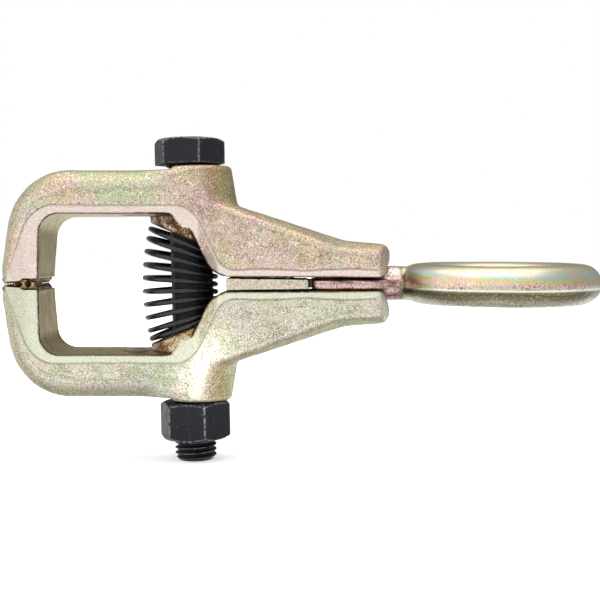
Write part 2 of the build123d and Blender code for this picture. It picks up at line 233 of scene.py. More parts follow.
class Shader:
    """A material's node tree, with short calls for what the finishes below are made of."""

    def __init__(self, name):
        self.material = bpy.data.materials.new(name)
        self.material.use_nodes = True
        self.tree = self.material.node_tree
        self.bsdf = self.tree.nodes["Principled BSDF"]
        self.place = self.node("ShaderNodeTexCoord").outputs["Object"]

    def node(self, kind, **settings):
        made = self.tree.nodes.new(kind)
        for key, value in settings.items():
            setattr(made, key, value)
        return made

    def link(self, source, target):
        self.tree.links.new(source, target)

    def fill(self, socket, value):
        if isinstance(value, bpy.types.NodeSocket):
            self.link(value, socket)
        else:
            socket.default_value = value

    def noise(self, size, detail=3.0, roughness=0.55, distortion=0.0, offset=(0.0, 0.0, 0.0),
              stretch=(1.0, 1.0, 1.0)):
        shift = self.node("ShaderNodeVectorMath", operation="MULTIPLY_ADD")
        self.link(self.place, shift.inputs[0])
        shift.inputs[1].default_value = stretch
        shift.inputs[2].default_value = offset
        made = self.node("ShaderNodeTexNoise")
        self.link(shift.outputs[0], made.inputs["Vector"])
        made.inputs["Scale"].default_value = 1.0 / size
        made.inputs["Detail"].default_value = detail
        made.inputs["Roughness"].default_value = roughness
        made.inputs["Distortion"].default_value = distortion
        return made.outputs["Fac"]

    def cells(self, size):
        made = self.node("ShaderNodeTexVoronoi")
        self.link(self.place, made.inputs["Vector"])
        made.inputs["Scale"].default_value = 1.0 / size
        made.inputs["Randomness"].default_value = 1.0
        return made.outputs

    def span(self, value, low, high, to_low=0.0, to_high=1.0):
        made = self.node("ShaderNodeMapRange", interpolation_type="SMOOTHSTEP")
        self.link(value, made.inputs["Value"])
        made.inputs["From Min"].default_value = low
        made.inputs["From Max"].default_value = high
        made.inputs["To Min"].default_value = to_low
        made.inputs["To Max"].default_value = to_high
        return made.outputs["Result"]

    def math(self, operation, one, two):
        made = self.node("ShaderNodeMath", operation=operation)
        self.fill(made.inputs[0], one)
        self.fill(made.inputs[1], two)
        return made.outputs[0]

    def times(self, one, two):
        return self.math("MULTIPLY", one, two)

    def plus(self, one, two):
        return self.math("ADD", one, two)

    def share_left(self, value):
        """What is left of 1 when a share is taken away."""
        return self.math("SUBTRACT", 1.0, value)

    def along(self, axis, vector=None):
        """One axis of a vector, or of the place on the object."""
        split = self.node("ShaderNodeSeparateXYZ")
        self.link(self.place if vector is None else vector, split.inputs[0])
        return split.outputs[axis]

    def ramp(self, value, stops):
        made = self.node("ShaderNodeValToRGB")
        self.link(value, made.inputs["Fac"])
        ramp = made.color_ramp
        ramp.interpolation = "EASE"
        while len(ramp.elements) < len(stops):
            ramp.elements.new(0.5)
        for element, (position, colour) in zip(ramp.elements, stops):
            element.position = position
            element.color = (*colour, 1.0)
        return made.outputs["Color"]

    def mix(self, amount, one, two, blend="MIX"):
        made = self.node("ShaderNodeMix", data_type="RGBA", blend_type=blend)
        self.fill(made.inputs[0], amount)
        for socket, value in ((made.inputs[6], one), (made.inputs[7], two)):
            self.fill(socket, value if isinstance(value, bpy.types.NodeSocket) else (*value, 1.0))
        return made.outputs[2]

    def attribute(self, name):
        return self.node("ShaderNodeAttribute", attribute_name=name).outputs["Fac"]

    def facing(self, axis):
        """How far the surface's own normal points along an axis of the row."""
        return self.along(axis, self.node("ShaderNodeTexCoord").outputs["Normal"])

    def bump(self, height, strength, distance, under=None):
        made = self.node("ShaderNodeBump")
        made.inputs["Strength"].default_value = strength
        made.inputs["Distance"].default_value = distance
        self.link(height, made.inputs["Height"])
        if under is not None:
            self.link(under, made.inputs["Normal"])
        return made.outputs["Normal"]

    def finish(self, colour, roughness, metallic, normal=None):
        self.fill(self.bsdf.inputs["Base Color"], colour)
        self.fill(self.bsdf.inputs["Roughness"], roughness)
        self.fill(self.bsdf.inputs["Metallic"], metallic)
        if normal is not None:
            self.link(normal, self.bsdf.inputs["Normal"])
        return self.material


# ---------------------------------------------------------------- finishes

DARK_PIT = (0.14, 0.11, 0.06)
# Near white, painted as glints: specks of highlight on the plated parts.
PAINTED_GLINT = (0.97, 0.95, 0.92)
# Olive painted as shade: in the crease where the ring's stem meets it, and on the block's tongue in its gap.
PAINTED_SHADE_OLIVE = (0.22, 0.16, 0.06)
# Dark brown of the parting line's seam, and painted gap shadow along the block's edges.
SEAM_AND_GAP_SHADE_BROWN = (0.11, 0.075, 0.05)
# Painted shade: the dark line along the throat's edge.
RIM_SHADE_BROWN = (0.075, 0.035, 0.018)
TAIL_BROWN = (0.42, 0.27, 0.11)
# A bright line painted along the ring's equator ridge as its highlight.
RIDGE_PAINTED_HIGHLIGHT = (0.98, 0.96, 0.92)
RUBBED_CREST = (0.72, 0.64, 0.44)
TOOTH_GRAIN = (0.70, 0.66, 0.54)
WORN_OXIDE = (0.34, 0.35, 0.38)
DUST = (0.20, 0.21, 0.24)
# Pale colours of the smooth band past the parting line: partly its smoother finish, partly a painted
# highlight.
UPPER_BAND_HIGHLIGHT = (0.80, 0.67, 0.62)
LOWER_BAND_HIGHLIGHT = (0.70, 0.73, 0.56)

# Each list below is the stops of a colour ramp: a position from 0 to 1, and a linear colour.
UPPER_CLOUDS = [(0.30, (0.52, 0.54, 0.36)), (0.40, (0.62, 0.53, 0.40)), (0.48, (0.66, 0.49, 0.43)),
                (0.56, (0.66, 0.53, 0.36)), (0.64, (0.50, 0.52, 0.37)), (0.74, (0.64, 0.51, 0.50))]
LOWER_CLOUDS = [(0.30, (0.56, 0.58, 0.42)), (0.42, (0.66, 0.62, 0.48)), (0.52, (0.66, 0.58, 0.52)),
                (0.62, (0.58, 0.60, 0.44)), (0.74, (0.66, 0.60, 0.58))]
UPPER_TINT = (0.78, 0.56, 0.46)
LOWER_TINT = (0.66, 0.66, 0.48)
# Khaki and brown painted on the faces that look into the throat and the slot, as their shade.
UPPER_THROAT_SHADE = [(0.34, (0.34, 0.19, 0.07)), (0.46, (0.46, 0.40, 0.20)), (0.58, (0.40, 0.44, 0.26)),
                (0.68, (0.50, 0.34, 0.18))]
LOWER_THROAT_SHADE = [(0.34, (0.34, 0.20, 0.07)), (0.46, (0.48, 0.36, 0.17)), (0.58, (0.52, 0.45, 0.24)),
                (0.68, (0.38, 0.27, 0.13))]
# Painted shade in the spring's seat and the hollow round it, dark brown to orange-brown, with a painted pale
# highlight at the top of each ramp.
UPPER_POCKET_SHADE_AND_HIGHLIGHT = [(0.36, (0.035, 0.016, 0.008)), (0.47, (0.12, 0.060, 0.025)), (0.56, (0.27, 0.15, 0.06)),
                (0.64, (0.50, 0.38, 0.32)), (0.72, (0.85, 0.80, 0.82))]
LOWER_POCKET_SHADE_AND_HIGHLIGHT = [(0.36, (0.10, 0.05, 0.02)), (0.46, (0.32, 0.19, 0.07)), (0.56, (0.44, 0.36, 0.20)),
                (0.64, (0.58, 0.52, 0.36)), (0.72, (0.74, 0.66, 0.58))]
# Painted light and shade by how far a face leans out from the C's outline: a darker greenish band where the
# sides start to turn, light on the rounded edges, darker again on the outermost faces.
LEAN_PAINTED_SHADING = [(0.0, (0.9, 0.9, 0.9)), (0.44, (1.0, 1.0, 1.0)), (0.57, (0.98, 0.98, 0.96)),
               (0.61, (0.66, 0.72, 0.60)), (0.68, (0.96, 0.94, 0.96)), (0.78, (0.88, 0.90, 0.94)),
               (0.86, (0.90, 0.80, 0.74)), (0.96, (0.66, 0.68, 0.50))]
# Painted reflection on the boss's side: pink, orange and yellow-green tints laid by how far the surface turns
# towards +X.
BOSS_PAINTED_REFLECTION = [(0.0, (1.0, 1.0, 1.0)), (0.22, (1.0, 0.94, 1.0)), (0.40, (1.0, 0.78, 0.88)),
               (0.56, (1.0, 0.80, 0.62)), (0.74, (1.0, 0.92, 0.52)), (0.93, (0.84, 0.90, 0.50))]
# Ring colour by slope, from facing down to facing up: partly the film's colours, partly painted reflection,
# with a painted dark band on the underside and a painted highlight line above that band.
RING_SLOPE_FILM_AND_SHADE = [(0.03, (0.46, 0.44, 0.35)), (0.10, (0.19, 0.18, 0.10)), (0.22, (0.10, 0.09, 0.035)),
              (0.30, (0.18, 0.16, 0.07)), (0.35, (0.86, 0.80, 0.66)), (0.42, (0.62, 0.60, 0.36)),
              (0.49, (0.58, 0.48, 0.40)), (0.58, (0.72, 0.52, 0.46)), (0.67, (0.70, 0.54, 0.28)),
              (0.75, (0.56, 0.61, 0.32)), (0.82, (0.46, 0.60, 0.52)), (0.90, (0.54, 0.58, 0.58)),
              (0.97, (0.60, 0.57, 0.40))]
RING_PATCHES = [(0.40, (0.44, 0.60, 0.50)), (0.49, (0.60, 0.62, 0.28)), (0.57, (0.74, 0.54, 0.28)),
                (0.66, (0.76, 0.46, 0.46))]
WING_CLOUDS = [(0.34, (0.16, 0.08, 0.10)), (0.43, (0.46, 0.27, 0.30)), (0.52, (0.74, 0.48, 0.44)),
               (0.63, (0.82, 0.64, 0.64)), (0.72, (0.64, 0.50, 0.28))]
BLOCK_CLOUDS = [(0.32, (0.52, 0.54, 0.36)), (0.45, (0.66, 0.60, 0.46)), (0.58, (0.70, 0.60, 0.52)),
                (0.70, (0.54, 0.56, 0.38))]
# Near black painted on the teeth as the shade of the gap between the jaws, mottled with orange-brown stain.
TOOTH_GAP_SHADE = [(0.42, (0.02, 0.012, 0.008)), (0.54, (0.34, 0.17, 0.05)), (0.64, (0.04, 0.025, 0.015))]

UPPER_COLOURS = (UPPER_CLOUDS, UPPER_TINT, UPPER_BAND_HIGHLIGHT, UPPER_THROAT_SHADE, UPPER_POCKET_SHADE_AND_HIGHLIGHT)
LOWER_COLOURS = (LOWER_CLOUDS, LOWER_TINT, LOWER_BAND_HIGHLIGHT, LOWER_THROAT_SHADE, LOWER_POCKET_SHADE_AND_HIGHLIGHT)


def plated_forging(name, clouds, tint, band, throat, pocket, seed):
    """Yellow chromate over zinc on a blasted forging: pastel clouds, dark pits and a seam, with painted
    glints, painted light and shade by which way faces lean, a partly painted highlight on the smooth band,
    and painted shade in the throat, the spring's pocket and along the throat's edge.
    """
    s = Shader(name)
    colour = s.ramp(s.noise(mm(30), 2.0, 0.5, 0.6, (seed, 0.3, 0.1)), clouds)
    blotch = s.noise(mm(9), 3.0, 0.6, 0.4, (0.2, seed, 0.7))
    colour = s.mix(s.span(blotch, 0.45, 0.75, 0.0, 0.5), colour, tint)
    coarse = s.attribute("coarse")
    # The smooth band is made paler: partly its own finish, partly a painted highlight.
    smooth_band = s.times(s.share_left(coarse), 0.75)
    colour = s.mix(smooth_band, colour, band)
    # Painted light and shade: faces are lightened or darkened by which way they lean, in place of real light.
    painted_lean = s.span(s.plus(s.attribute("outward"), s.span(blotch, 0.3, 0.7, -0.05, 0.05)), -1.0, 1.0)
    colour = s.mix(0.85, colour, s.ramp(painted_lean, LEAN_PAINTED_SHADING), "MULTIPLY")
    # Painted reflection tints on the side of the boss.
    colour = s.mix(0.9, colour, s.ramp(s.attribute("boss_side"), BOSS_PAINTED_REFLECTION), "MULTIPLY")
    streaks = s.noise(mm(5), 3.0, 0.6, 0.5, (seed, 0.8, 0.2), (1.0, 1.0, 0.3))
    inner = s.attribute("inner")
    # Painted shade on the faces that look into the throat and the slot.
    colour = s.mix(s.times(inner, 0.92), colour, s.ramp(streaks, throat))
    pits = s.noise(mm(0.66), 3.0, 0.68)
    patches = s.span(s.noise(mm(7), 2.0, 0.5, 0.0, (0.3, 0.6, seed)), 0.35, 0.65, 0.6, 1.0)
    pitted = s.times(s.span(pits, 0.40, 0.49, 1.0, 0.0), s.span(coarse, 0.0, 1.0, 0.26, 0.75))
    pitted = s.times(pitted, patches)
    colour = s.mix(pitted, colour, DARK_PIT)
    # Painted glints: specks of highlight where the noise is high, fewer on the smooth band and none on the
    # throat's faces.
    painted_glints = s.times(s.span(pits, 0.54, 0.66), s.span(coarse, 0.0, 1.0, 0.55, 0.75))
    colour = s.mix(s.times(painted_glints, s.share_left(inner)), colour, PAINTED_GLINT)
    # Painted shade and highlight in the spring's pocket, mottled by noise and the pits.
    pocket_mottle = s.plus(s.noise(mm(6), 2.0, 0.5), s.times(s.math("SUBTRACT", pits, 0.5), 1.1))
    colour = s.mix(s.attribute("pocket"), colour, s.ramp(pocket_mottle, pocket))
    # Brown laid at the ends of the tail, close to the middle plane.
    colour = s.mix(s.times(s.attribute("brown_patch"), 0.8), colour, TAIL_BROWN)
    # Painted shade: a broken dark brown line along the throat's edge, where the faces turn away.
    broken = s.span(s.noise(mm(3), 2.0, 0.6), 0.30, 0.50, 0.55, 1.0)
    colour = s.mix(s.times(s.attribute("rim"), broken), colour, RIM_SHADE_BROWN)
    colour = s.mix(s.times(s.attribute("seam"), 0.78), colour, SEAM_AND_GAP_SHADE_BROWN)
    roughness = s.span(pits, 0.3, 0.7, 0.52, 0.34)
    swell = s.bump(s.noise(mm(3.2), 3.0, 0.6), 0.25, mm(0.35))
    normal = s.bump(pits, 0.6, mm(0.20), swell)
    return s.finish(colour, roughness, 0.9, normal)


def plated_ring(name):
    """Chromate film on the smoother ring: rainbow bands that follow the slope, with painted shade and a
    painted highlight line among them; the wing is rough and pink.
    """
    s = Shader(name)
    wander = s.span(s.noise(mm(38), 2.0, 0.5, 0.5), 0.25, 0.75, -0.10, 0.10)
    # Painted light and shade by slope, with film colours: the ring's colour follows which way each face
    # points up or down.
    band = s.span(s.plus(s.facing("Z"), wander), -1.0, 1.0)
    colour = s.ramp(band, RING_SLOPE_FILM_AND_SHADE)
    blotch = s.noise(mm(16), 2.0, 0.5, 0.8, (0.5, 0.2, 0.7))
    patchy = s.times(s.span(blotch, 0.40, 0.70, 0.0, 0.6), s.span(s.facing("Z"), -0.1, 0.2))
    colour = s.mix(patchy, colour, s.ramp(blotch, RING_PATCHES))
    wing = s.attribute("wing")
    streaks = s.noise(mm(4), 4.0, 0.65, 0.3, stretch=(0.35, 1.0, 1.6))
    colour = s.mix(wing, colour, s.ramp(streaks, WING_CLOUDS))
    pits = s.noise(mm(0.75), 3.0, 0.64)
    # Pits grow denser on the faces that look down: real pits, and painted shade that darkens the underside.
    low = s.span(s.facing("Z"), -0.15, 0.50, 1.0, 0.10)
    specks = s.span(s.noise(mm(14), 2.0, 0.5, 0.0, (0.9, 0.1, 0.3)), 0.35, 0.60, 0.3, 1.0)
    pits_and_underside_shade = s.times(low, specks)
    pitted = s.math("MAXIMUM", pits_and_underside_shade, s.times(wing, 0.8))
    colour = s.mix(s.times(s.span(pits, 0.40, 0.50, 1.0, 0.0), pitted), colour, DARK_PIT)
    # Painted glints on the ring.
    colour = s.mix(s.span(pits, 0.56, 0.68, 0.0, 0.4), colour, PAINTED_GLINT)
    # Painted highlight along the equator ridge.
    colour = s.mix(s.times(s.attribute("ridge"), 0.75), colour, RIDGE_PAINTED_HIGHLIGHT)
    # Painted shade in the crease where the stem meets the ring.
    colour = s.mix(s.times(s.attribute("root"), 0.8), colour, PAINTED_SHADE_OLIVE)
    swell = s.bump(s.noise(mm(5), 3.0, 0.5), 0.15, mm(0.30))
    normal = s.bump(pits, 0.40, mm(0.14), swell)
    return s.finish(colour, s.span(pits, 0.3, 0.7, 0.38, 0.26), 0.92, normal)


def plated_block(name):
    """The fulcrum block: paler chromate, with painted olive shade on the tongue and a painted brown gap
    shadow along the edges.
    """
    s = Shader(name)
    colour = s.ramp(s.noise(mm(9), 3.0, 0.55, 0.4), BLOCK_CLOUDS)
    pits = s.noise(mm(0.6), 3.0, 0.64)
    colour = s.mix(s.span(pits, 0.40, 0.50, 0.6, 0.0), colour, DARK_PIT)
    # Painted glints on the block.
    colour = s.mix(s.span(pits, 0.56, 0.70, 0.0, 0.5), colour, PAINTED_GLINT)
    # Painted shade on the tongue, which sits in the gap by the wing.
    colour = s.mix(s.attribute("tongue"), colour, PAINTED_SHADE_OLIVE)
    # Painted shadow of the gaps above and below the block, along its upper and lower edges.
    colour = s.mix(s.times(s.attribute("edge_wear_and_gap_shade"), 0.7), colour, SEAM_AND_GAP_SHADE_BROWN)
    normal = s.bump(pits, 0.4, mm(0.12))
    return s.finish(colour, s.span(pits, 0.3, 0.7, 0.46, 0.32), 0.9, normal)


def tooth_steel(name):
    """Near black painted on the teeth as the gap's shade, mottled with orange-brown stain, and rubbed bright
    on their crests.
    """
    s = Shader(name)
    brown_patch = s.noise(mm(4), 3.0, 0.6)
    colour = s.ramp(brown_patch, TOOTH_GAP_SHADE)
    height = s.math("ABSOLUTE", s.along("Z"), 0.0)
    colour = s.mix(s.span(height, TOOTH_CREST, mm(1.1), 0.85, 0.0), colour, RUBBED_CREST)
    grain = s.noise(mm(0.5), 3.0, 0.6)
    colour = s.mix(s.span(grain, 0.55, 0.70, 0.0, 0.4), colour, TOOTH_GRAIN)
    return s.finish(colour, s.span(grain, 0.3, 0.7, 0.5, 0.35), 0.9, s.bump(grain, 0.4, mm(0.1)))


def black_oxide(name):
    """Black fasteners: blue-black skin, bright worn edges, a few specks of dust."""
    s = Shader(name)
    mottle = s.noise(mm(3.5), 4.0, 0.6)
    colour = s.ramp(mottle, [(0.3, (0.003, 0.004, 0.006)), (0.7, (0.008, 0.0095, 0.0135))])
    scuff = s.span(s.noise(mm(1.3), 4.0, 0.7), 0.40, 0.60)
    worn = s.times(s.times(s.attribute("edge_wear_and_gap_shade"), scuff), 0.9)
    colour = s.mix(worn, colour, WORN_OXIDE)
    dots = s.span(s.cells(mm(2.4))["Distance"], 0.06, 0.16, 1.0, 0.0)
    speck = s.times(dots, s.span(s.noise(mm(5), 1.0, 0.5, 0.0, (0.4, 0.1, 0.9)), 0.48, 0.62))
    colour = s.mix(s.times(speck, 0.6), colour, DUST)
    roughness = s.span(mottle, 0.3, 0.7, 0.34, 0.50)
    normal = s.bump(s.noise(mm(0.6), 3.0, 0.6), 0.25, mm(0.05))
    s.bsdf.inputs["Specular IOR Level"].default_value = 0.28
    return s.finish(colour, roughness, 0.0, normal)


def black_lacquer(name):
    """Glossy black spring wire with faint drawing marks."""
    s = Shader(name)
    mottle = s.noise(mm(2.2), 3.0, 0.6)
    colour = s.ramp(mottle, [(0.3, (0.004, 0.004, 0.005)), (0.75, (0.014, 0.014, 0.016))])
    roughness = s.span(mottle, 0.3, 0.7, 0.18, 0.30)
    normal = s.bump(s.noise(mm(0.9), 3.0, 0.6), 0.2, mm(0.06))
    return s.finish(colour, roughness, 0.0, normal)


def ground_steel(name):
    """Bare ground steel for the two locating pins."""
    s = Shader(name)
    grain = s.noise(mm(0.6), 3.0, 0.6)
    colour = s.ramp(grain, [(0.3, (0.45, 0.44, 0.42)), (0.7, (0.62, 0.61, 0.58))])
    return s.finish(colour, s.span(grain, 0.3, 0.7, 0.25, 0.4), 1.0, s.bump(grain, 0.2, mm(0.05)))


# ---------------------------------------------------------------- arms

def parting_points(node):
    """Points along the forging's parting line: the CAD arm is widest exactly there."""
    points = read_points(frame["nodes"][node].data)
    widest = np.abs(points[:, 1]).max()
    line = points[np.abs(points[:, 1]) > widest - mm(0.02)]
    line = line[line[:, 1] < 0]
    line = np.unique(np.round(line, 6), axis=0)
    start = line[:, 0].argmin()
    ordered = [line[start]]
    rest = np.delete(line, start, 0)
    while len(rest):
        nearest = np.linalg.norm(rest - ordered[-1], axis=1).argmin()
        ordered.append(rest[nearest])
        rest = np.delete(rest, nearest, 0)
    dense = []
    for one, two in zip(ordered, ordered[1:]):
        steps = max(1, int(np.linalg.norm(two - one) / mm(0.5)))
        dense += [one + (two - one) * k / steps for k in range(steps)]
    return np.array(dense)


def seam_distance(points, line):
    """Distance of each point from the wandering parting line, and its height over it."""
    tree = kdtree.KDTree(len(line))
    for index, place in enumerate(line):
        tree.insert(place, index)
    tree.balance()
    near = points.copy()
    near[:, 1] = -np.abs(near[:, 1])
    near[:, 2] += waves(points * (1, 0.1, 0.3), mm(9), 11) * mm(0.30)
    found = [tree.find(place) for place in near]
    distance = np.array([item[2] for item in found])
    above = points[:, 2] - np.array([item[0].z for item in found])
    return distance, above


def throat_share(points, normals):
    """How much each point belongs to the faces that look into the throat and the slot, 0 to 1."""
    inward = -points
    inward[:, 0] += np.maximum(points[:, 0], THROAT_CENTRE.x)
    inward[:, 1] = 0
    inward /= np.linalg.norm(inward, axis=1)[:, None]
    facing = (inward * normals).sum(1)
    sideways = np.abs(normals[:, 1])
    return smoothstep(facing, 0.30, 0.6) * smoothstep(sideways, 0.80, 0.5)


def pocket_share(points, normals):
    """The spring's seat and the hollow round it: near the spring's line, facing it or the middle plane."""
    reach = points[:, :2] - (POCKET_X, 0)
    radius = np.hypot(reach[:, 0], reach[:, 1])
    towards = -(reach * normals[:, :2]).sum(1) / np.maximum(radius, mm(0.1))
    hollow = smoothstep(np.maximum.reduce([towards, -normals[:, 0], -normals[:, 2]]), 0.15, 0.4)
    return hollow * smoothstep(radius, *POCKET_RADIUS) * smoothstep(points[:, 2], *POCKET_HEIGHT)


def from_outside(points):
    """Depth under the C's outer outline, and the outline's outward direction there."""
    centre_z = TOP_Z - OUTER_CORNER
    centre_x = ARM_LOW.x + (OUTER_CORNER + centre_z * sin(JAW_LEAN)) / cos(JAW_LEAN)
    reach = points[:, (0, 2)] - (centre_x, centre_z)
    length = np.linalg.norm(reach, axis=1)
    out = reach / np.maximum(length, mm(0.01))[:, None]
    out[reach @ (sin(JAW_LEAN), cos(JAW_LEAN)) <= 0] = (-cos(JAW_LEAN), sin(JAW_LEAN))
    out[reach[:, 0] >= 0] = (0, 1)
    return OUTER_CORNER - (reach * out).sum(1), out


def round_outer_edges(points, line):
    """Round the C's outer edges, which the CAD leaves square, and set the tip's front edge back."""
    depth, out = from_outside(points)
    order = line[:, 0].argsort()
    parting_z = np.interp(points[:, 0], line[order, 0], line[order, 2])
    parting_z -= np.maximum(line[:, 0].min() - points[:, 0], 0) * PARTING_SLOPE
    half = HALF_WIDTH - (points[:, 2] - parting_z) * DRAFT
    from_bolt = points[:, 0] - BOLT_AT.x
    clear = smoothstep(np.hypot(from_bolt, points[:, 1]), *CLEAR_OF_BOSS) * (from_bolt < 0)
    radius = FORGING_ROUND * clear * smoothstep(points[:, 2], *CLEAR_OF_TEETH)
    radius = np.maximum(radius, LEAST_ROUND)
    side = np.abs(points[:, 1])
    past_depth = np.maximum(radius - depth, 0)
    past_side = np.maximum(side - (half - radius), 0)
    share = np.minimum(1, radius / np.maximum(np.hypot(past_depth, past_side), mm(0.01)))
    above = points[:, 2] > parting_z
    share = np.where(above & (from_bolt < ROUND_END_FROM_BOLT), share, 1.0)
    points[:, (0, 2)] -= out * (past_depth * (1 - share))[:, None]
    points[:, 1] = np.sign(points[:, 1]) * (side - past_side * (1 - share))
    toe = smoothstep(points[:, 2], *TOE_HEIGHT) * smoothstep(points[:, 0] - ARM_LOW.x, *TOE_LENGTH)
    points[:, 0] += toe * TOE_SETBACK


def sink_teeth(points):
    """Flatten the remeshed teeth up into the tip, where the crisp ones cover them."""
    spare = mm(0.2)
    level = TOOTH_ROOT + mm(0.8)
    in_x = (points[:, 0] > TEETH_X[0] - spare) & (points[:, 0] < TEETH_X[1] + mm(2))
    in_y = np.abs(points[:, 1]) < TEETH_HALF_Y + spare
    points[in_x & in_y & (points[:, 2] < level), 2] = level


def smooth_forging(mesh, line):
    """Round the arm and relax the remesh's steps, less at the tip, whose share of each point it returns."""
    points = read_points(mesh)
    distance, above = seam_distance(points, line)
    tip = smoothstep(points[:, 2], mm(5.0), mm(2.5)) * (points[:, 0] < THROAT_CENTRE.x)
    outer = smoothstep(distance, mm(2.5), mm(6.5)) * (above > 0)
    boss_top = smoothstep(points[:, 2], ARM_HIGH.z - mm(3.2), ARM_HIGH.z - mm(2.0))
    round_outer_edges(points, line)
    write_points(mesh, points)
    from_bolt = np.hypot(points[:, 0] - BOLT_AT.x, points[:, 1])
    thin = smoothstep(from_bolt, *SPRING_WALL_R) * (points[:, 2] < SPRING_WALL_TOP)
    relax(mesh, 5, 0.5 * (1 - 0.8 * tip) * (1 - 0.85 * thin))
    relax(mesh, 60, 0.5 * outer * (1 - tip) * (1 - 0.9 * boss_top))
    return tip


def store_zones(mesh, points, normals, distance, above):
    """The places where the arm's finish changes, and where plated_forging paints shade and highlights, as the
    attributes that it reads.
    """
    inner = throat_share(points, normals)
    spread = averaged(mesh, inner[:, None], 4, 0.6)[:, 0]
    tail_end = smoothstep(points[:, 0], ARM_HIGH.x - mm(7), ARM_HIGH.x - mm(3))
    out = from_outside(points)[1]
    boss = (points[:, 2] > ARM_HIGH.z - BOSS_SIDE_HEIGHT) & (points[:, 0] > BOLT_AT.x + mm(2))
    store(mesh, "seam", bell(distance, mm(0.45)))
    store(mesh, "inner", inner)
    store(mesh, "rim", np.minimum(1, (4 * spread * (1 - spread)) ** 1.2 * 1.5))
    store(mesh, "pocket", pocket_share(points, normals))
    # brown_patch: the tail's end, close to the middle plane.
    store(mesh, "brown_patch", tail_end * smoothstep(points[:, 2], *TAIL_BROWN_HEIGHT))
    store(mesh, "coarse", smoothstep(above * (1 - inner), -mm(0.5), mm(0.8)))
    store(mesh, "outward", (out * normals[:, (0, 2)]).sum(1))
    store(mesh, "boss_side", np.where(boss, np.clip(normals[:, 0], 0, 1), 0))


def forged_arm(name, finish):
    """The upper arm's skin: rounded and uneven, with the parting line as a low ridge."""
    mesh = remeshed("upper_arm", name, mm(0.5))
    line = parting_points("upper_arm")
    tip = smooth_forging(mesh, line)
    points = read_points(mesh)
    normals = read_normals(mesh)
    distance, above = seam_distance(points, line)
    store_zones(mesh, points, normals, distance, above)
    ridge = bell(distance, mm(0.6)) * SEAM_HEIGHT
    uneven = waves(points, mm(16), 5) * mm(0.10) + waves(points, mm(4), 6) * mm(0.05)
    shift = ridge + (uneven - SKIN_INSET) * (1 - tip) * smoothstep(distance, 0, mm(2))
    points = points + normals * shift[:, None]
    sink_teeth(points)
    write_points(mesh, points)
    mesh.materials.append(finish)
    return new_object(name, mesh)


def cell_faces(start):
    """Four sides and the top of a cell whose lower and upper four corners begin at start."""
    sides = [(start + k, start + (k + 1) % 4, start + 4 + (k + 1) % 4, start + 4 + k) for k in range(4)]
    return sides + [(start + 4, start + 5, start + 6, start + 7)]


def inside_tip(x, y):
    """Y held within the jaw tip, whose sides taper and whose front corners are cut off."""
    past = x - TEETH_X[0]
    limit = min(BAND_Y - past * BAND_SLOPE, CORNER_Y + past * CORNER_SLOPE)
    return min(abs(y), limit) * (1 if y > 0 else -1)


def jaw_teeth(name, side, finish):
    """Diamond teeth on one jaw tip; side is 1 for the upper jaw and -1 for the lower."""
    (x0, x1), half_y = TEETH_X, TEETH_HALF_Y
    wide, deep = (x1 - x0) / TEETH_ALONG_X, 2 * half_y / TEETH_ALONG_Y
    points = []
    faces = []
    for column in range(TEETH_ALONG_X):
        for row in range(TEETH_ALONG_Y):
            cx, cy = x0 + (column + 0.5) * wide, -half_y + (row + 0.5) * deep
            faces += cell_faces(len(points))
            for share, z in ((0.5, TOOTH_ROOT), (0.5 * CREST_SHARE, TOOTH_CREST)):
                for dx, dy in ((-1, -1), (1, -1), (1, 1), (-1, 1)):
                    points.append((cx + dx * share * wide, cy + dy * share * deep, z * side))
    faces += cell_faces(len(points))
    corners = ((x0, -half_y), (x1, -half_y), (x1, half_y), (x0, half_y))
    for z in (TOOTH_ROOT, TOOTH_ROOT + TOOTH_BACK):
        points += [(x, y, z * side) for x, y in corners]
    points = [(x, inside_tip(x, y), z) for x, y, z in points]
    mesh = mesh_from(name, points, faces)
    weld = bmesh.new()
    weld.from_mesh(mesh)
    bmesh.ops.remove_doubles(weld, verts=weld.verts, dist=mm(0.005))
    bmesh.ops.recalc_face_normals(weld, faces=weld.faces)
    weld.to_mesh(mesh)
    weld.free()
    mesh.polygons.foreach_set("use_smooth", [False] * len(mesh.polygons))
    mesh.materials.append(finish)
    return new_object(name, mesh)


def turned_over(arm, name, finish):
    """The same forging on the other side of the middle plane."""
    mesh = arm.data.copy()
    mesh.name = name
    mesh.transform(((1, 0, 0, 0), (0, 1, 0, 0), (0, 0, -1, 0), (0, 0, 0, 1)))
    mesh.flip_normals()
    mesh.materials.clear()
    mesh.materials.append(finish)
    return new_object(name, mesh)


# ---------------------------------------------------------------- ring and block

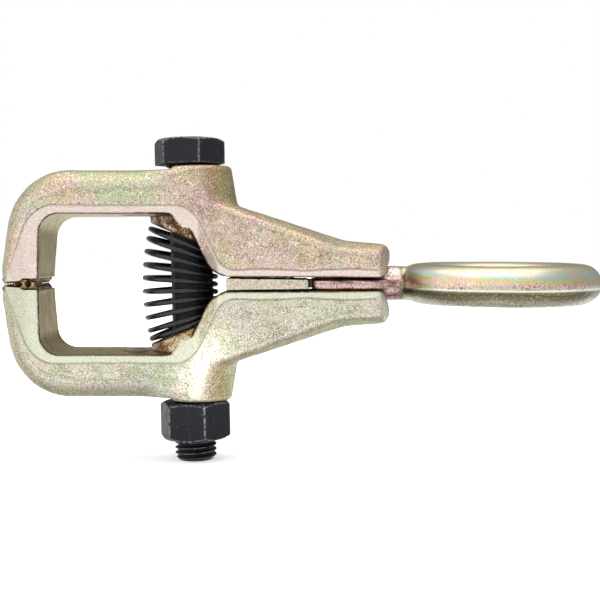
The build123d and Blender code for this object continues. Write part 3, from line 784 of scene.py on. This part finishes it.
def pull_ring(finish):
    """The forged ring: smooth and even, with a rougher wing and stem, and a faint equator ridge."""
    mesh = remeshed("pull_ring", "pull_ring_forging", mm(0.45))
    points = read_points(mesh)
    wing = smoothstep(points[:, 0], RING_ROOT_X + mm(2), RING_ROOT_X - mm(3))
    relax(mesh, 3, 0.5)
    relax(mesh, 24, 0.5 * (1 - wing))
    points = read_points(mesh)
    normals = read_normals(mesh)
    radius = np.hypot(points[:, 0], points[:, 1])
    tilt_z = points[:, 2] - points[:, 1] * RING_TIP
    outside = (radius > RING_HIGH.x - mm(5)) * (1 - wing)
    ridge = bell(tilt_z + mm(1.5), mm(0.45)) * outside
    rough = waves(points, mm(5), 21) * mm(0.09) + waves(points, mm(2), 22) * mm(0.05)
    shift = ridge * mm(0.10) + wing * (rough - mm(0.08)) + (1 - wing) * waves(points, mm(22), 23) * mm(0.10)
    points = points + normals * (shift - SKIN_INSET * (1 - wing))[:, None]
    write_points(mesh, points)
    store(mesh, "wing", wing)
    # ridge: where the painted highlight line goes.
    store(mesh, "ridge", ridge)
    # root: the crease where the stem meets the ring, for painted shade.
    root = bell(points[:, 0] - RING_ROOT_X - mm(0.6), mm(0.9))
    store(mesh, "root", root * (np.abs(points[:, 1]) < mm(16)))
    mesh.materials.append(finish)
    return new_object("pull_ring_forging", mesh)


def fulcrum_block(finish):
    """The block's skin: faintly uneven, marked for painted shade on the tongue and a painted gap shadow along
    the edges.
    """
    mesh = remeshed("fulcrum_block", "fulcrum_block_skin", mm(0.3))
    relax(mesh, 4, 0.5)
    points = read_points(mesh)
    rough = waves(points, mm(6), 31) * mm(0.05) + waves(points, mm(1.8), 32) * mm(0.03)
    normals = read_normals(mesh)
    tongue_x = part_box("fulcrum_block")[1].x - TONGUE_LENGTH
    level = smoothstep(np.abs(normals[:, 2]), 0.3, 0.7)
    # tongue: where painted shade goes.
    store(mesh, "tongue", smoothstep(points[:, 0], tongue_x - mm(0.4), tongue_x + mm(0.2)))
    # Marks the block's upper and lower edges for a painted gap shadow.
    store(mesh, "edge_wear_and_gap_shade", smoothstep(np.abs(points[:, 2]), mm(1.7), mm(2.5)) * level)
    write_points(mesh, points + normals * (rough - mm(0.05))[:, None])
    mesh.materials.append(finish)
    return new_object("fulcrum_block_skin", mesh)


# ---------------------------------------------------------------- bolt and nut

HEX_FLAT = mm(15.0)
HEX_TURN = radians(-10.0)
HEX_SIXTH = pi / 3
HEX_CORNER_ROUND = mm(0.35)
HEX_END_ROUND = mm(0.45)
CHAMFER_IN = mm(0.5)
CHAMFER = tan(radians(30))
HEAD_H = mm(12.0)
WASHER_FACE_H = mm(1.0)
WASHER_FACE_R = mm(11.3)
PITCH = mm(2.5)
THREAD_R = mm(9.9)
THREAD_DEPTH = mm(1.45)
THREAD_LENGTH = mm(58)
THREAD_STEP = mm(0.14)
NUT_BORE_R = mm(10.05)
NUT_MOUTH_R = mm(10.8)
NUT_MOUTH_DEPTH = mm(0.8)
ROUND_STEPS = 240
ROUND_ANGLES = np.arange(ROUND_STEPS) * 2 * pi / ROUND_STEPS


def soft_min(one, two, blend):
    """The smaller of two values, with a rounded change from one to the other."""
    gap = np.clip(0.5 + 0.5 * (two - one) / blend, 0, 1)
    return two * (1 - gap) + one * gap - blend * gap * (1 - gap)


def hex_radius(angles, blend):
    """Radius of a hexagon with rounded corners at each angle."""
    off = (angles - HEX_TURN) % HEX_SIXTH
    one = HEX_FLAT / np.cos(off - HEX_SIXTH / 2)
    left = HEX_FLAT / np.cos(off + HEX_SIXTH / 2)
    right = HEX_FLAT / np.cos(off - 1.5 * HEX_SIXTH)
    return soft_min(soft_min(one, left, blend), right, blend)


def chamfer_cone(heights, bottom, top, face_r):
    """Radius left by the 30 degree chamfers at the two ends; None leaves an end square."""
    limit = np.full(len(heights), 1.0)
    if top is not None:
        limit = np.minimum(limit, face_r + (top - heights) / CHAMFER)
    if bottom is not None:
        limit = np.minimum(limit, face_r + (heights - bottom) / CHAMFER)
    return limit


def rows_to_mesh(name, rings, close_ends):
    """Skin a stack of rings that all have the same number of points."""
    count = len(rings[0])
    points = np.concatenate(rings)
    faces = []
    for row in range(len(rings) - 1):
        for k in range(count):
            a, b = row * count + k, row * count + (k + 1) % count
            faces.append((a, b, b + count, a + count))
    if close_ends:
        faces.append(tuple(range(count - 1, -1, -1)))
        last = (len(rings) - 1) * count
        faces.append(tuple(range(last, last + count)))
    return mesh_from(name, points, faces)


def ring_of(radius, height):
    """A level ring of points round the axis; the radius is one number or one for each angle."""
    radius = np.zeros(ROUND_STEPS) + radius
    across = (radius * np.cos(ROUND_ANGLES), radius * np.sin(ROUND_ANGLES))
    return np.stack([*across, np.full(ROUND_STEPS, height)], 1)


def hex_rings(bottom, top, chamfer_bottom, chamfer_top, inner):
    """Rings up the outside of a hexagon from its inner radius at the bottom to that at the top."""
    fine = mm(0.12)
    heights = np.arange(bottom, top + fine / 2, fine)
    face_r = HEX_FLAT - CHAMFER_IN
    limit = chamfer_cone(heights, bottom if chamfer_bottom else None, top if chamfer_top else None, face_r)
    flats = hex_radius(ROUND_ANGLES, HEX_CORNER_ROUND)
    rings = [ring_of(inner, bottom)]
    for share in (0.5, 0.85):
        rings.append(ring_of(inner + (face_r - inner) * share, bottom))
    for height, cone in zip(heights, limit):
        radius = soft_min(flats, np.full(ROUND_STEPS, cone), mm(0.3))
        inset = max(0.0, min(height - bottom, top - height))
        if inset < HEX_END_ROUND:
            radius = radius - (HEX_END_ROUND - sqrt(HEX_END_ROUND ** 2 - (HEX_END_ROUND - inset) ** 2))
        rings.append(ring_of(radius, height))
    for share in (0.85, 0.5):
        rings.append(ring_of(inner + (face_r - inner) * share, top))
    rings.append(ring_of(inner, top))
    return rings


def edge_wear(mesh, bottom, top, chamfer_bottom):
    """Wear on a hexagon, 0 to 1: most at its corners, less at the chamfer's arcs and the ends."""
    points = read_points(mesh)
    angles = np.arctan2(points[:, 1], points[:, 0])
    radius = np.hypot(points[:, 0], points[:, 1])
    off = np.abs(((angles - HEX_TURN + HEX_SIXTH / 2) % HEX_SIXTH) - HEX_SIXTH / 2) * radius
    corner = bell(off, mm(0.4)) * (radius > HEX_FLAT)
    arc = (hex_radius(angles, HEX_CORNER_ROUND) - HEX_FLAT + CHAMFER_IN) * CHAMFER
    from_arc = np.abs(top - arc - points[:, 2])
    if chamfer_bottom:
        from_arc = np.minimum(from_arc, np.abs(points[:, 2] - bottom - arc))
    arcs = bell(from_arc, mm(0.35)) * (radius > HEX_FLAT - mm(0.8))
    end = np.minimum(np.abs(points[:, 2] - bottom), np.abs(top - points[:, 2]))
    lip = bell(end, mm(0.4)) * (radius > HEX_FLAT - mm(1.2))
    return np.clip(corner + 0.8 * arcs + 0.6 * lip, 0, 1)


def onto_bolt_axis(mesh):
    """Move a mesh that was made round the Z axis onto the bolt's line."""
    turn = Vector((0, 0, 1)).rotation_difference(BOLT_AXIS).to_matrix().to_4x4()
    turn.translation = BOLT_AT
    mesh.transform(turn)


def ends_along_bolt(node):
    """The lowest and the highest place of a CAD node along the bolt's own axis."""
    points = read_points(frame["nodes"][node].data) - np.array(BOLT_AT)
    along = points @ np.array(BOLT_AXIS)
    return along.min(), along.max()


def thread_radius(height, end, start):
    """Rolled right-hand thread: chamfered at the bolt's end, fading into the shank at its start."""
    phase = (height / PITCH - ROUND_ANGLES / (2 * pi)) % 1.0
    flank = np.clip(np.abs(phase - 0.5) * 2.0, 0.0, 1.0)
    depth = np.clip((flank - 0.12) / 0.76, 0.0, 1.0)
    depth = THREAD_DEPTH * (1 - depth)
    fade = np.clip((start - height) / (2 * PITCH), 0.0, 1.0)
    radius = THREAD_R - depth * fade
    cone = THREAD_R - mm(2.0) + (height - end)
    return np.minimum(radius, cone)


def clamp_bolt(finish):
    """The bolt from its threaded end up: thread, plain shank, washer face and chamfered head."""
    end, top = ends_along_bolt("clamp_bolt")
    under = top - HEAD_H
    thread_start = end + THREAD_LENGTH
    rings = [ring_of(mm(r), end) for r in (0.4, 5.0, 7.6)]
    for height in np.arange(end + mm(0.02), thread_start, THREAD_STEP):
        rings.append(ring_of(thread_radius(height, end, thread_start), height))
    collar = under - WASHER_FACE_H
    for height in np.linspace(thread_start, collar, 12):
        rings.append(ring_of(THREAD_R, height))
    rings.append(ring_of(WASHER_FACE_R - mm(0.3), collar))
    rings.append(ring_of(WASHER_FACE_R, collar + mm(0.2)))
    rings.append(ring_of(WASHER_FACE_R, under - mm(0.1)))
    head = hex_rings(under, top, False, True, WASHER_FACE_R + mm(0.1))
    centre = [ring_of(mm(r), top) for r in (8.0, 4.0, 0.4)]
    mesh = rows_to_mesh("clamp_bolt_detail", rings + head + centre, True)
    wear = edge_wear(mesh, under, top, False)
    points = read_points(mesh)
    radius = np.hypot(points[:, 0], points[:, 1])
    crest = smoothstep(radius, THREAD_R - mm(0.35), THREAD_R) * (points[:, 2] < thread_start)
    store(mesh, "edge_wear_and_gap_shade", np.where(points[:, 2] < under - mm(1.2), crest * 0.5, wear))
    onto_bolt_axis(mesh)
    mesh.materials.append(finish)
    bolt = new_object("clamp_bolt_detail", mesh)
    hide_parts("clamp_bolt")
    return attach(bolt, "bolt")


def clamp_nut(finish):
    """The nut: a hexagon chamfered at both ends, with a plain bore that widens at its mouths."""
    bottom, top = ends_along_bolt("clamp_nut")
    outside = hex_rings(bottom, top, True, True, NUT_MOUTH_R)
    inside = [ring_of(NUT_BORE_R, top - NUT_MOUTH_DEPTH), ring_of(NUT_BORE_R, bottom + NUT_MOUTH_DEPTH),
              ring_of(NUT_MOUTH_R, bottom)]
    mesh = rows_to_mesh("clamp_nut_detail", outside + inside, False)
    store(mesh, "edge_wear_and_gap_shade", edge_wear(mesh, bottom, top, True))
    onto_bolt_axis(mesh)
    mesh.materials.append(finish)
    nut = new_object("clamp_nut_detail", mesh)
    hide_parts("clamp_nut")
    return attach(nut, "nut")


# ---------------------------------------------------------------- spring

WIRE_R = mm(1.15)
FAN_R = mm(58.0)
BEND_R = mm(105.5)
WIRE_SIDES = 14
STEPS_PER_TURN = 72
SPRING_TURNS = 9.5
STRETCH_REACH = mm(24)
TURN_ANGLE = 4.9
OPEN_TURNS = 3.5
CLOSING = 1.56
END_WRAP = 0.42
TOP_LEFT_TURN = 4.4
COIL_TIP = 0.052
COIL_TIP_CHANGE = -0.009


def fan_angle(turn):
    """Angle of the coil round the fan's centre, with the end coils closing up."""
    past = max(0.0, abs(turn) - OPEN_TURNS)
    angle = radians(TURN_ANGLE * abs(turn) - CLOSING * past * past)
    return angle if turn > 0 else -angle


def coil_tip(turn):
    """Slope of a coil towards the far side; the end coils lie flat on their seats."""
    past = max(0.0, abs(turn) - OPEN_TURNS)
    return (COIL_TIP + COIL_TIP_CHANGE * turn) * max(0.0, 1.0 - past)


def coil_point(turn, middle_x):
    """A place on the wire: a left-hand coil whose axis is bent and whose turns fan out."""
    round_axis = 2 * pi * (TOP_LEFT_TURN - turn)
    fan = fan_angle(turn)
    out = COIL_R * cos(round_axis)
    y = -COIL_R * sin(round_axis)
    axis_x = middle_x + BEND_R - sqrt(BEND_R ** 2 - (FAN_R * sin(fan)) ** 2)
    return Vector((axis_x - out * cos(fan), y, (FAN_R + out) * sin(fan) - y * coil_tip(turn)))


def spring_half(name, first, last, finish):
    """Half of the spring's wire, swept with a small frame that turns with the coil."""
    middle_x = SPRING_LOW.x + COIL_R + WIRE_R
    steps = int(abs(last - first) * STEPS_PER_TURN)
    around = [2 * pi * k / WIRE_SIDES for k in range(WIRE_SIDES)]
    rings = []
    for step in range(steps + 1):
        turn = first + (last - first) * step / steps
        place = coil_point(turn, middle_x)
        ahead = (coil_point(turn - 0.001, middle_x) - coil_point(turn + 0.001, middle_x)).normalized()
        up = Vector((sin(fan_angle(turn)), 0, cos(fan_angle(turn))))
        side = ahead.cross(up).normalized()
        lift = side.cross(ahead)
        rings.append(np.array([tuple(place + (side * cos(angle) + lift * sin(angle)) * WIRE_R)
                               for angle in around]))
    mesh = rows_to_mesh(name, rings, True)
    mesh.materials.append(finish)
    half = new_object(name, mesh)
    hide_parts("opening_spring")
    return half


def opening_spring(finish):
    """The wire in two halves, each from the middle of the coil out to one of its ends."""
    up = ("spring_upper_half", SPRING_TURNS / 2, "top_jaw", STRETCH_REACH)
    down = ("spring_lower_half", -SPRING_TURNS / 2 - END_WRAP, "bottom_jaw", -STRETCH_REACH)
    for name, last, body, rise in (up, down):
        half = spring_half(name, 0.0, last, finish)
        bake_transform(half)


# ---------------------------------------------------------------- the stage

def floor():
    """White to the eye; in the metal's reflections a glow, weaker close under the clamp and far off."""
    size = 4.0
    mesh = mesh_from("floor", [(-size, -size, FLOOR_Z), (size, -size, FLOOR_Z),
                               (size, size, FLOOR_Z), (-size, size, FLOOR_Z)], [(0, 1, 2, 3)])
    s = Shader("pale_floor")
    seen = s.node("ShaderNodeLightPath").outputs["Is Camera Ray"]
    colour = s.ramp(s.noise(0.4, 2.0), [(0.3, (0.88, 0.88, 0.88)), (0.7, (0.92, 0.92, 0.92))])
    colour = s.mix(seen, (0.05, 0.05, 0.05), colour)
    away = s.node("ShaderNodeVectorMath", operation="LENGTH")
    s.link(s.place, away.inputs[0])
    across = s.math("ABSOLUTE", s.along("Y"), 0.0)
    glow = s.span(away.outputs["Value"], 0.15, 0.9, 0.45, 1.0)
    shade = s.times(s.span(across, 0.030, 0.080, 0.65, 1.2), s.span(across, 0.2, 0.8, 1.0, 0.5))
    light = s.mix(seen, shade, glow)
    s.bsdf.inputs["Emission Color"].default_value = (1, 1, 1, 1)
    s.link(light, s.bsdf.inputs["Emission Strength"])
    mesh.materials.append(s.finish(colour, 0.8, 0.0))
    new_object("floor", mesh)


def soft_light(name, place, aim, width, height, watts, spread=pi):
    """A rectangular lamp that the camera doesn't see, aimed at a place."""
    lamp = bpy.data.lights.new(name, "AREA")
    lamp.shape = "RECTANGLE"
    lamp.size = width
    lamp.size_y = height
    lamp.energy = watts
    lamp.spread = spread
    thing = new_object(name, lamp)
    thing.visible_camera = False
    thing.location = place
    thing.rotation_euler = (Vector(aim) - Vector(place)).to_track_quat("-Z", "Y").to_euler()


def lights():
    """A wide soft lamp overhead, and a small weak one low in front for a glint on the lower boss."""
    middle = (-0.1, 0, 0)
    soft_light("overhead", (-0.1, 0.0, 1.1), middle, width=1.4, height=1.4, watts=8)
    boss = BOLT_AT + Vector((0, 0, -mm(42)))
    strip_at = boss + Vector((0.045, -0.125, -0.028))
    soft_light("low_strip", strip_at, boss, width=0.008, height=0.022, watts=0.0014, spread=radians(26))


# Brightness of the light tent along one axis: each stop is how far from the -Y or -X side, and how bright.
TENT_ALONG_Y = ((0.0, 1.20), (0.16, 1.08), (0.34, 0.86), (0.5, 0.80), (0.80, 0.62), (0.97, 0.18))
TENT_ALONG_X = ((0.0, 1.8), (0.35, 1.05), (0.6, 1.0), (1.0, 0.62))


def world():
    """White to the camera, and a light tent to the metal: bright in front and to the left, dark behind."""
    made = bpy.data.worlds.new("studio")
    bpy.context.scene.world = made
    made.use_nodes = True
    tree = made.node_tree
    background = tree.nodes["Background"]
    place = tree.nodes.new("ShaderNodeTexCoord")
    split = tree.nodes.new("ShaderNodeSeparateXYZ")
    tree.links.new(place.outputs["Generated"], split.inputs[0])
    shades = []
    for axis, stops in (("Y", TENT_ALONG_Y), ("X", TENT_ALONG_X)):
        spread = tree.nodes.new("ShaderNodeMapRange")
        spread.inputs["From Min"].default_value = -1.0
        tree.links.new(split.outputs[axis], spread.inputs["Value"])
        ramp = tree.nodes.new("ShaderNodeValToRGB")
        tree.links.new(spread.outputs["Result"], ramp.inputs["Fac"])
        while len(ramp.color_ramp.elements) < len(stops):
            ramp.color_ramp.elements.new(0.5)
        for element, (position, shade) in zip(ramp.color_ramp.elements, stops):
            element.position = position
            element.color = (shade, shade, shade, 1)
        shades.append(ramp.outputs["Color"])
    tent = tree.nodes.new("ShaderNodeMix")
    tent.data_type = "RGBA"
    tent.blend_type = "MULTIPLY"
    tent.inputs[0].default_value = 1.0
    tree.links.new(shades[0], tent.inputs[6])
    tree.links.new(shades[1], tent.inputs[7])
    pick = tree.nodes.new("ShaderNodeMix")
    pick.data_type = "RGBA"
    tree.links.new(tree.nodes.new("ShaderNodeLightPath").outputs["Is Camera Ray"], pick.inputs[0])
    tree.links.new(tent.outputs[2], pick.inputs[6])
    pick.inputs[7].default_value = (1, 1, 1, 1)
    tree.links.new(pick.outputs[2], background.inputs["Color"])


def camera():
    """In front of the clamp and a little above its middle, looking along +Y and slightly down."""
    lens = bpy.data.cameras.new("camera")
    lens.sensor_width = 36
    lens.lens = 62.04
    lens.clip_start = 0.01
    thing = new_object("camera", lens)
    thing.location = BOLT_AT + Vector((mm(46.8), -mm(496), mm(14)))
    aim = BOLT_AT + Vector((mm(51.6), 0, -mm(8.1)))
    thing.rotation_euler = (aim - thing.location).to_track_quat("-Z", "Y").to_euler()
    bpy.context.scene.camera = thing


# ---------------------------------------------------------------- assembly

def piece(thing, body, node):
    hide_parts(node)
    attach(thing, body)


camera()
world()
lights()
floor()

upper = forged_arm("upper_arm_forging", plated_forging("forging_upper", *UPPER_COLOURS, seed=1.0))
lower = turned_over(upper, "lower_arm_forging", plated_forging("forging_lower", *LOWER_COLOURS, seed=0.0))
piece(upper, "top_jaw", "upper_arm")
piece(lower, "bottom_jaw", "lower_arm")
stained = tooth_steel("tooth_steel")
for name, side, body in (("upper_jaw_teeth", 1, "top_jaw"), ("lower_jaw_teeth", -1, "bottom_jaw")):
    teeth = jaw_teeth(name, side, stained)
    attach(teeth, body)

piece(pull_ring(plated_ring("ring_plating")), "ring", "pull_ring")
piece(fulcrum_block(plated_block("block_plating")), "spacer", "fulcrum_block")

pins = frame["nodes"]["locating_pins"]
pins.data.materials.clear()
pins.data.materials.append(ground_steel("pin_steel"))

fasteners = black_oxide("black_oxide")
clamp_bolt(fasteners)
clamp_nut(fasteners)
opening_spring(black_lacquer("spring_lacquer"))

bpy.context.scene.view_settings.view_transform = "Standard"
